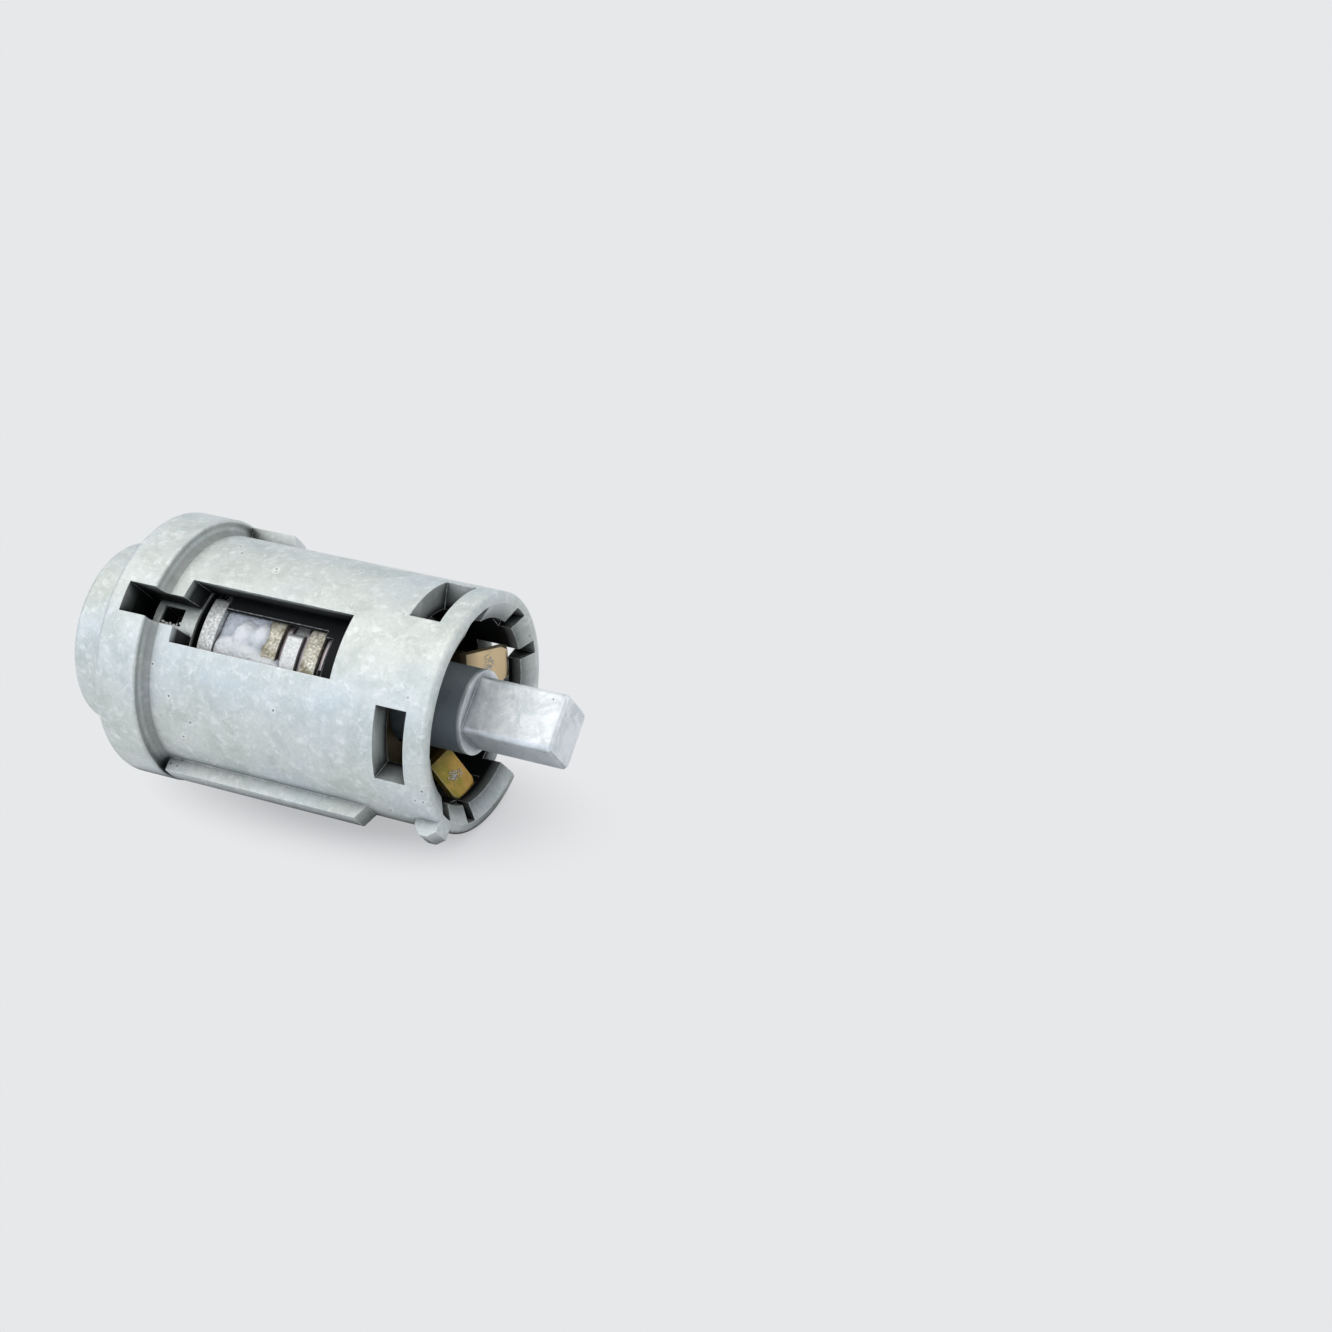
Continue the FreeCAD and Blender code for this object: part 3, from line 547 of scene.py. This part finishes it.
def grease_height(x, bearing, stand):
    """How far the grease stands from the axis there, in mm."""
    film = (GREASE_FILM - GREASE_BASE) / (1 + math.exp((x - FILM_END) / FILM_FALL))
    total = film ** MELT_POWER
    for ridge_x, ridge_bearing, length, span, height in GREASE_RIDGES:
        away = ((x - ridge_x) / length) ** 2 + ((bearing - ridge_bearing) / span) ** 2
        total += (height * math.exp(-0.5 * away ** RIDGE_STEEPNESS)) ** MELT_POWER
    top = GREASE_BASE + total ** (1 / MELT_POWER)
    for height, by_length, by_bearing, layer in GREASE_WAVES:
        top += height * noise.noise(Vector((x * by_length, bearing * by_bearing, layer)))
    return min(top, stand / MM)


def grease_mesh(name, stand):
    """The grease as one closed skin over the discs, drawn on a grid of x and bearing."""
    columns, rows = GREASE_STEPS
    skin = bmesh.new()
    layers = []
    for is_top in (True, False):
        grid = []
        for column in range(columns + 1):
            x = GREASE_LOW[0] + (GREASE_HIGH[0] - GREASE_LOW[0]) * column / columns
            line = []
            for row in range(rows + 1):
                bearing = GREASE_LOW[1] + (GREASE_HIGH[1] - GREASE_LOW[1]) * row / rows
                height = grease_height(x, bearing, stand) if is_top else GREASE_UNDERSIDE
                line.append(skin.verts.new(spot(x * MM, height * MM, bearing)))
            grid.append(line)
        layers.append(grid)
    for grid in layers:
        for line, next_line in zip(grid, grid[1:]):
            for row in range(rows):
                skin.faces.new((line[row], next_line[row], next_line[row + 1], line[row + 1]))
    border = [(column, 0) for column in range(columns)] + [(columns, row) for row in range(rows)]
    border += [(column, rows) for column in range(columns, 0, -1)] + [(0, row) for row in range(rows, 0, -1)]
    top, bottom = layers
    for (column, row), (next_column, next_row) in zip(border, border[1:] + border[:1]):
        skin.faces.new((
            top[column][row], top[next_column][next_row], bottom[next_column][next_row], bottom[column][row],
        ))
    bmesh.ops.recalc_face_normals(skin, faces=skin.faces)
    for face in skin.faces:
        face.smooth = True
    mesh = bpy.data.meshes.new(name)
    skin.to_mesh(mesh)
    skin.free()
    return mesh


# Burrs round the pocket in the plug's land: x, bearing, and length, width and thickness in mm
BURRS = (
    (-0.75, 4.6, 0.34, 0.16, 0.08),
    (-0.25, 5.2, 0.26, 0.12, 0.07),
    (0.15, 5.0, 0.20, 0.20, 0.07),
    (0.62, 5.3, 0.24, 0.12, 0.07),
    (0.95, 4.8, 0.14, 0.16, 0.06),
    (1.28, 3.6, 0.12, 0.26, 0.06),
    (2.95, 10.2, 0.16, 0.34, 0.08),
    (3.02, 8.2, 0.10, 0.30, 0.06),
)

# How much of a burr's thickness its middle lies below the plug's surface
BURR_SUNK_SHARE = 0.6

# The clip's fingers, from the part's drawing, and the middle of their faces along the barrel in mm
FINGER_BEARINGS = (139.5, -129.0)
FINGER_MIDDLE = 28.5

# A punch mark's flakes in mm: their number, how far they spread across and along the finger, how high their
# middles lie, and the least and greatest length and width, and the thickness, of one flake
PUNCH_FLAKES = 60
PUNCH_SPREAD = (0.6, 0.26)
FLAKE_LIFT = 0.04
FLAKE_LENGTHS = (0.06, 0.17)
FLAKE_WIDTHS = (0.05, 0.11)
FLAKE_THICKNESS = 0.08

# How far a flake turns to either side, in radians, and how far in its corners may be torn
FLAKE_TURN = 1.2
TORN_SHARES = (0.6, 1.0)


def burr_seats():
    """Places, turns and sizes of the burrs, which lie in the plug's surface."""
    ahead = Vector((1, 0, 0))
    seats = []
    for x, bearing, length, width, thickness in BURRS:
        outward = spot(0, 1, bearing)
        turn = Matrix((ahead, outward.cross(ahead), outward)).transposed()
        centre = spot(x * MM, PLUG_RADIUS - thickness * BURR_SUNK_SHARE * MM, bearing)
        seats.append((centre, turn, Vector((length, width, thickness)) * MM))
    return seats


def punch_seats(bearing, seed):
    """Places, turns and sizes of the flakes that a punch raised on a finger's face."""
    centre, normal = find_face("retaining_clip", FINGER_MIDDLE * MM, bearing)
    side = normal.cross(Vector((1, 0, 0))).normalized()
    ahead = side.cross(normal)
    chance = random.Random(seed)
    seats = []
    for _ in range(PUNCH_FLAKES):
        sideways = side * chance.gauss(0, PUNCH_SPREAD[0]) * MM
        forward = ahead * chance.gauss(0, PUNCH_SPREAD[1]) * MM
        lean = Matrix.Rotation(chance.uniform(-FLAKE_TURN, FLAKE_TURN), 3, "Z")
        turn = Matrix((ahead, side, normal)).transposed() @ lean
        size = Vector((chance.uniform(*FLAKE_LENGTHS), chance.uniform(*FLAKE_WIDTHS), FLAKE_THICKNESS)) * MM
        seats.append((centre + sideways + forward + normal * FLAKE_LIFT * MM, turn, size))
    return seats


def flake_mesh(name, seats):
    """Jagged flakes in one mesh, one for each place, turn and size."""
    chance = random.Random(name)
    gathered = bmesh.new()
    for centre, turn, size in seats:
        for corner in bmesh.ops.create_icosphere(gathered, subdivisions=1, radius=1.0)["verts"]:
            jagged = corner.co * chance.uniform(*TORN_SHARES)
            corner.co = centre + turn @ Vector(jagged * size)
    mesh = bpy.data.meshes.new(name)
    gathered.to_mesh(mesh)
    gathered.free()
    return mesh


# The stage

# The floor touches the barrel under the flange and under the rim
FLOOR_RISE = (find_rim_bottom() - FLANGE_BOTTOM) / RIM_END
FLOOR_HALF_WIDTH = 2.0

# How much the camera sees the floor's plain colour in place of its lit paper: that share at the barrel, and
# all of it beyond an oval, whose inner and outer edges are shares of the barrel's length
PLAIN_NEAR = 0.55
PLAIN_EDGES = (0.46, 0.60)

# The share of the plain colour in what the metal reflects
PLAIN_REFLECTED = 0.2

# The surround's colour below and above, and how far up each of them ends
SURROUND_LOW = "#BFCDE2"
SURROUND_HIGH = "#FBFBFA"
SURROUND_HEIGHTS = (0.05, 0.55)

# Each softbox: place and width in metres, share of a full white light at the barrel, and colour
SOFTBOXES = {
    "top_softbox": ((-0.16, -0.08, 0.52), 0.45, 0.12, "#FFFEFA"),
    "side_softbox": ((-0.22, -0.52, 0.16), 0.80, 0.30, "#E8EEFF"),
}

# The camera's right, up and backward directions, and the point in the middle of its picture
CAMERA_RIGHT = Vector((0.915, 0.403, 0.0))
CAMERA_UP = Vector((-0.198, 0.450, 0.871))
CAMERA_BACK = Vector((0.351, -0.797, 0.492))
CAMERA_AIM = Vector((42.554, 22.067, -3.627)) * MM


def make_floor(settings):
    """A large pale floor that leans a little, because the barrel rests on its flange and its rim."""
    mesh = bpy.data.meshes.new("floor")
    corners = []
    for x, y in ((-1, -1), (1, -1), (1, 1), (-1, 1)):
        rise = FLANGE_BOTTOM + FLOOR_RISE * x * FLOOR_HALF_WIDTH
        corners.append((x * FLOOR_HALF_WIDTH, y * FLOOR_HALF_WIDTH, rise))
    mesh.from_pydata(corners, [], [(0, 1, 2, 3)])
    floor = bpy.data.objects.new("floor", mesh)
    bpy.context.scene.collection.objects.link(floor)
    mesh.materials.append(matt_paper("matt_paper", settings))


def matt_paper(name, settings):
    """Matt paper, which takes the barrel's soft shadow.

    To the eye it is one even tone from a short way beyond the barrel.
    """
    material, tree, place = new_material(name)
    paper = add_node(tree, "ShaderNodeBsdfPrincipled", {
        "Base Color": opaque(settings.floor), "Roughness": 0.85, "Specular IOR Level": 0.1,
    })
    plain = add_node(tree, "ShaderNodeEmission", {"Color": opaque(settings.floor), "Strength": 1.0})
    from_middle = add_node(tree, "ShaderNodeMapping", {
        "Vector": place, "Location": (-RIM_END / 4, 0.0, 0.0), "Scale": (0.5, 1.0, 1.0),
    })
    distance = add_node(tree, "ShaderNodeVectorMath", {0: from_middle}, operation="LENGTH").outputs["Value"]
    inner, outer = PLAIN_EDGES
    seen_share = share_within(tree, (distance, inner * RIM_END, outer * RIM_END, PLAIN_NEAR, 1.0))
    seen = add_node(tree, "ShaderNodeLightPath").outputs["Is Camera Ray"]
    plain_share = add_node(tree, "ShaderNodeMix", {0: seen, 2: PLAIN_REFLECTED, 3: seen_share})
    surface = add_node(tree, "ShaderNodeMixShader", {0: plain_share, 1: paper, 2: plain})
    add_node(tree, "ShaderNodeOutputMaterial", {"Surface": surface})
    return material


def make_world(settings):
    """A pale surround, cooler and dimmer near the horizon, and the floor's colour where it is seen."""
    world = bpy.data.worlds.new("pale_surround")
    bpy.context.scene.world = world
    world.use_nodes = True
    tree = world.node_tree
    tree.nodes.clear()
    direction = add_node(tree, "ShaderNodeTexCoord").outputs["Generated"]
    upward = add_node(tree, "ShaderNodeSeparateXYZ", {"Vector": direction}).outputs["Z"]
    room = coated(tree, opaque(linear(SURROUND_LOW)), linear(SURROUND_HIGH), upward, *SURROUND_HEIGHTS)
    seen = add_node(tree, "ShaderNodeLightPath").outputs["Is Camera Ray"]
    colour = coated(tree, room, settings.floor, seen)
    backdrop = add_node(tree, "ShaderNodeBackground", {"Color": colour, "Strength": 1.0})
    add_node(tree, "ShaderNodeOutputWorld", {"Surface": backdrop})


def make_softbox(name, place, width, share, hex_colour):
    """A square area light that gives that share of a full white light at the barrel."""
    lamp = bpy.data.lights.new(name, "AREA")
    lamp.size = width
    lamp.color = linear(hex_colour)
    lamp.energy = share * math.pi ** 2 * place.length_squared
    light = bpy.data.objects.new(name, lamp)
    light.location = place
    light.rotation_mode = "QUATERNION"
    light.rotation_quaternion = place.to_track_quat("Z", "Y")
    bpy.context.scene.collection.objects.link(light)


def make_camera(settings):
    """The camera, above and to the near right of the barrel's tail."""
    lens = bpy.data.cameras.new("camera")
    lens.sensor_width = 36.0
    lens.lens = settings.lens
    lens.clip_start = 0.01
    camera = bpy.data.objects.new("camera", lens)
    turn = Matrix((CAMERA_RIGHT, CAMERA_UP, CAMERA_BACK)).transposed()
    place = CAMERA_AIM + CAMERA_BACK * settings.distance
    camera.matrix_world = Matrix.Translation(place) @ turn.to_4x4()
    bpy.context.scene.collection.objects.link(camera)
    bpy.context.scene.camera = camera


# What a user would change


def colour_value(name, description, hex_colour):
    """A colour setting whose default is an sRGB hex colour."""
    return bpy.props.FloatVectorProperty(name=name, description=description, size=3, min=0.0, max=1.0,
                                         subtype="COLOR", default=linear(hex_colour))


def length_value(name, description, millimetres):
    """A setting for a length in the scene, whose default is given in millimetres."""
    return bpy.props.FloatProperty(name=name, description=description, min=0.0, subtype="DISTANCE",
                                   unit="LENGTH", default=millimetres * MM)


def width_value(name, description, millimetres):
    """A setting for the width of a pattern, in millimetres."""
    return bpy.props.FloatProperty(name=name, description=description, min=0.05, default=millimetres)


def share_value(name, description, share):
    """A setting from 0 to 1."""
    return bpy.props.FloatProperty(name=name, description=description, min=0.0, max=1.0, subtype="FACTOR",
                                   default=share)


class CastingSettings(bpy.types.PropertyGroup):
    """The bare die-cast zinc of the housing and the plug."""

    colour: colour_value("Metal", "Main colour of the cast skin", "#D3D8D4")
    shade: colour_value("Shade", "Duller clouds in the skin", "#C4CBC6")
    oxide: colour_value("Oxide", "Pale oxide patches and specks", "#F0F3F1")
    tint: colour_value("Tint", "Cool drift over large areas", "#CDD6DB")
    rubbed: colour_value("Rubbed edge", "Edges rubbed or chipped bright", "#F8FAFA")
    # Colour of the real dark pits, and of the painted shade in the corners
    pit_grime_and_painted_shade: colour_value("Grime", "Film in the corners and pits", "#2F3738")
    # Painted shade, nearly black, deep inside the castings
    dirt: colour_value("Dirt", "Old grease and dirt deep inside", "#06090A")
    cloud_size: width_value("Cloud size", "Width of a cloud in mm", 3.4)
    grain_size: width_value("Grain size", "Width of the skin grain in mm", 0.4)
    pit_gap: width_value("Pit gap", "Distance between pits in mm", 1.5)
    metal_share: share_value("Metal share", "How metallic the skin looks", 0.62)


class TailSettings(bpy.types.PropertyGroup):
    """The finer casting of the tail driver."""

    colour: colour_value("Metal", "Main colour of the tail", "#F0F3F5")
    shade: colour_value("Shade", "Duller clouds", "#D3DADD")
    oxide: colour_value("Oxide", "Pale patches", "#FDFEFF")
    tint: colour_value("Tint", "Cool drift", "#E2E9ED")
    rubbed: colour_value("Rubbed edge", "Edges rubbed bright", "#F4F7F9")
    # Colour of the real dark pits, and of the painted shade in the corners
    pit_grime_and_painted_shade: colour_value("Grime", "Film in the corners", "#23292C")
    # Painted shade on the tail's root and on its lower side
    dirt: colour_value("Dirt", "Old grease and dirt deep inside", "#5C676D")
    cloud_size: width_value("Cloud size", "Width of a cloud in mm", 2.6)
    grain_size: width_value("Grain size", "Width of the skin grain in mm", 0.25)
    pit_gap: width_value("Pit gap", "Distance between pits in mm", 1.0)
    metal_share: share_value("Metal share", "How metallic the skin looks", 0.7)


class ClipSettings(bpy.types.PropertyGroup):
    """The yellow passivated retaining clip."""

    gold: colour_value("Gold", "Gold of the passivation", "#BE9A4A")
    # Laid on towards the far side of the barrel, along Y
    pale: colour_value("Pale gold", "Where the passivation is thin", "#F6DBB0")
    olive: colour_value("Olive", "Olive drift", "#938730")
    copper: colour_value("Copper", "Orange-pink stains", "#C58850")
    bare_edge: colour_value("Bare edge", "Sheared edge of the sheet", "#EDE6D6")
    # Painted shade deep inside the rim
    dirt: colour_value("Dirt", "Old grease deep inside", "#15140C")


class DiscSettings(bpy.types.PropertyGroup):
    """The stamped discs, which are of two metals, and the plates between them."""

    nickel: colour_value("Nickel silver", "Edge of the pale discs", "#D9DCDB")
    nickel_fleck: colour_value("Nickel fleck", "Flecks in the pale discs", "#EEEFEE")
    brass: colour_value("Brass", "Edge of the brass discs", "#A39C84")
    brass_fleck: colour_value("Brass fleck", "Flecks in the brass discs", "#E6E3D4")
    plate: colour_value("Spacer plate", "Steel of the plates between the discs", "#C9BFC4")
    # Painted shade in the gaps
    dirt: colour_value("Dirt", "Old grease in the gaps", "#0D1013")


class SteelSettings(bpy.types.PropertyGroup):
    """The small steel pieces at the front and inside."""

    sheet: colour_value("Sheet", "Stainless sheet of the cap and the flap", "#C4C6C6")
    ground: colour_value("Ground steel", "Pin, sidebar and thrust washer", "#A2A6A9")
    wire: colour_value("Spring wire", "Wire of the three springs", "#8A8D90")
    # Painted shade in the corners
    dirt: colour_value("Dirt", "Old grease in the corners", "#0D1013")


class GreaseSettings(bpy.types.PropertyGroup):
    """The grease left in the side window."""

    colour: colour_value("Grease", "Thick grease", "#E9EDF1")
    thin: colour_value("Thin grease", "Grease where it is thin", "#C0C7D1")
    stand: length_value("Stand", "How far the ridges stand from the barrel's axis", 9.5)


class StageSettings(bpy.types.PropertyGroup):
    """The pale floor and the camera."""

    floor: colour_value("Floor", "Colour of the floor and the background", "#E7E8EA")
    distance: length_value("Camera distance", "From the middle of the picture to the camera", 240.36)
    lens: bpy.props.FloatProperty(name="Lens", description="Focal length in mm", min=10.0, default=60.36)


GROUPS = {
    "lock_housing": CastingSettings,
    "lock_tail": TailSettings,
    "lock_clip": ClipSettings,
    "lock_discs": DiscSettings,
    "lock_steel": SteelSettings,
    "lock_grease": GreaseSettings,
    "lock_stage": StageSettings,
}


# Pieces


class LOCKBARREL_OT_castings(bpy.types.Operator):
    """Finish the housing and plug castings"""

    bl_idname = "lock_barrel.castings"
    bl_label = "Finish the castings"

    def execute(self, context):
        settings = context.scene.lock_housing
        housing = die_cast_zinc("die_cast_zinc_housing", settings, housing_bore, gloom=1.0, hollow=7.0)
        plug = die_cast_zinc("die_cast_zinc_plug", settings, plug_depths, gloom=0.98, hollow=0.8)
        dress(["barrel_housing"], housing)
        dress(["plug"], plug)
        return {"FINISHED"}


class LOCKBARREL_OT_tail(bpy.types.Operator):
    """Finish the drive tail"""

    bl_idname = "lock_barrel.tail"
    bl_label = "Finish the tail"

    def execute(self, context):
        settings = context.scene.lock_tail
        finish = die_cast_zinc("die_cast_zinc_tail", settings, tail_root, gloom=0.93, hollow=1.5)
        dress(["tail_driver"], finish)
        return {"FINISHED"}


class LOCKBARREL_OT_disc_pack(bpy.types.Operator):
    """Finish the discs and the plates between them"""

    bl_idname = "lock_barrel.disc_pack"
    bl_label = "Finish the disc pack"

    def execute(self, context):
        settings = context.scene.lock_discs
        pale = (settings.nickel, settings.nickel_fleck, settings.dirt)
        yellow = (settings.brass, settings.brass_fleck, settings.dirt)
        nickel = stamped_disc_metal("stamped_nickel_silver", *pale, coarse=0.35)
        brass = stamped_disc_metal("stamped_brass", *yellow, coarse=1.0)
        ground = stamped_disc_metal("ground_nickel_silver", *pale, coarse=0.8)
        plate = drawn_steel("rolled_steel_plate", settings.plate, settings.dirt, rough=0.3, line_gap=0.25)
        discs = sorted(name for name in frame["nodes"] if name.startswith("disc_"))
        plates = [name for name in frame["nodes"] if name.startswith("spacer_")]
        for name, metal in zip(discs, (ground, nickel, nickel, brass, nickel, brass), strict=True):
            dress([name], metal)
        dress([*plates, "pack_washer"], plate)
        return {"FINISHED"}


class LOCKBARREL_OT_small_steel(bpy.types.Operator):
    """Finish the cap, flap, pins, sidebar, washer and springs"""

    bl_idname = "lock_barrel.small_steel"
    bl_label = "Finish the small steel pieces"

    def execute(self, context):
        settings = context.scene.lock_steel
        dirt = settings.dirt
        sheet = drawn_steel("pressed_stainless_sheet", settings.sheet, dirt, rough=0.26, line_gap=0.5)
        ground = drawn_steel("ground_steel_pin", settings.ground, dirt, rough=0.3, line_gap=0.2)
        wire = drawn_steel("spring_wire", settings.wire, dirt, rough=0.34, line_gap=0.15)
        sidebar_springs = ["sidebar_spring_front", "sidebar_spring_rear"]
        dress(["face_cap", "keyway_shutter"], sheet)
        dress(["shutter_pin", "sidebar", "thrust_washer"], ground)
        dress(["shutter_spring", *sidebar_springs], wire)
        for name in sidebar_springs:
            press_down(frame["nodes"][name])
        return {"FINISHED"}


class LOCKBARREL_OT_clip(bpy.types.Operator):
    """Finish the retaining clip"""

    bl_idname = "lock_barrel.clip"
    bl_label = "Finish the clip"

    def execute(self, context):
        finish = passivated_steel("yellow_passivated_steel", context.scene.lock_clip)
        dress(["retaining_clip"], finish)
        return {"FINISHED"}


class LOCKBARREL_OT_grease(bpy.types.Operator):
    """Lay the grease over the discs in the side window"""

    bl_idname = "lock_barrel.grease"
    bl_label = "Lay the grease"

    def execute(self, context):
        settings = context.scene.lock_grease
        material = lithium_grease("lithium_grease", settings)
        new_piece("window_grease", grease_mesh("window_grease", settings.stand), material, "plug")
        return {"FINISHED"}


class LOCKBARREL_OT_torn_metal(bpy.types.Operator):
    """Add the burrs round the pocket and the punch marks on the clip"""

    bl_idname = "lock_barrel.torn_metal"
    bl_label = "Add burrs and punch marks"

    def execute(self, context):
        material = torn_zinc("torn_zinc")
        new_piece("pocket_burrs", flake_mesh("pocket_burrs", burr_seats()), material, "plug")
        for index, bearing in enumerate(FINGER_BEARINGS, 1):
            name = f"punch_mark_{index}"
            new_piece(name, flake_mesh(name, punch_seats(bearing, index)), material, "housing")
        return {"FINISHED"}


class LOCKBARREL_OT_stage(bpy.types.Operator):
    """Set the floor, the soft light and the camera"""

    bl_idname = "lock_barrel.stage"
    bl_label = "Set the stage"

    def execute(self, context):
        settings = context.scene.lock_stage
        make_floor(settings)
        make_world(settings)
        for name, (place, width, share, hex_colour) in SOFTBOXES.items():
            make_softbox(name, Vector(place), width, share, hex_colour)
        make_camera(settings)
        context.scene.view_settings.view_transform = "Standard"
        return {"FINISHED"}


STEPS = [
    LOCKBARREL_OT_castings,
    LOCKBARREL_OT_tail,
    LOCKBARREL_OT_disc_pack,
    LOCKBARREL_OT_small_steel,
    LOCKBARREL_OT_clip,
    LOCKBARREL_OT_grease,
    LOCKBARREL_OT_torn_metal,
    LOCKBARREL_OT_stage,
]


class LOCKBARREL_PT_panel(bpy.types.Panel):
    """Lists the steps and the settings"""

    bl_idname = "LOCKBARREL_PT_panel"
    bl_label = "Lock Barrel"
    bl_space_type = "VIEW_3D"
    bl_region_type = "UI"
    bl_category = "Lock Barrel"

    def draw(self, context):
        for step in STEPS:
            self.layout.operator(step.bl_idname)
        for group_name, group in GROUPS.items():
            box = self.layout.box()
            box.label(text=group.__doc__)
            for setting in group.__annotations__:
                box.prop(getattr(context.scene, group_name), setting)


def register():
    """Makes the settings, the steps and the panel known to Blender."""
    for group_name, group in GROUPS.items():
        bpy.utils.register_class(group)
        setattr(bpy.types.Scene, group_name, bpy.props.PointerProperty(type=group))
    for step in STEPS:
        bpy.utils.register_class(step)
    bpy.utils.register_class(LOCKBARREL_PT_panel)


def unregister():
    """Takes them out again."""
    bpy.utils.unregister_class(LOCKBARREL_PT_panel)
    for step in reversed(STEPS):
        bpy.utils.unregister_class(step)
    for group_name, group in GROUPS.items():
        delattr(bpy.types.Scene, group_name)
        bpy.utils.unregister_class(group)


def main():
    """Runs every step in order."""
    register()
    bpy.ops.lock_barrel.castings()
    bpy.ops.lock_barrel.tail()
    bpy.ops.lock_barrel.disc_pack()
    bpy.ops.lock_barrel.small_steel()
    bpy.ops.lock_barrel.clip()
    bpy.ops.lock_barrel.grease()
    bpy.ops.lock_barrel.torn_metal()
    bpy.ops.lock_barrel.stage()
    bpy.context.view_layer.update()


if __name__ == "__main__":
    main()
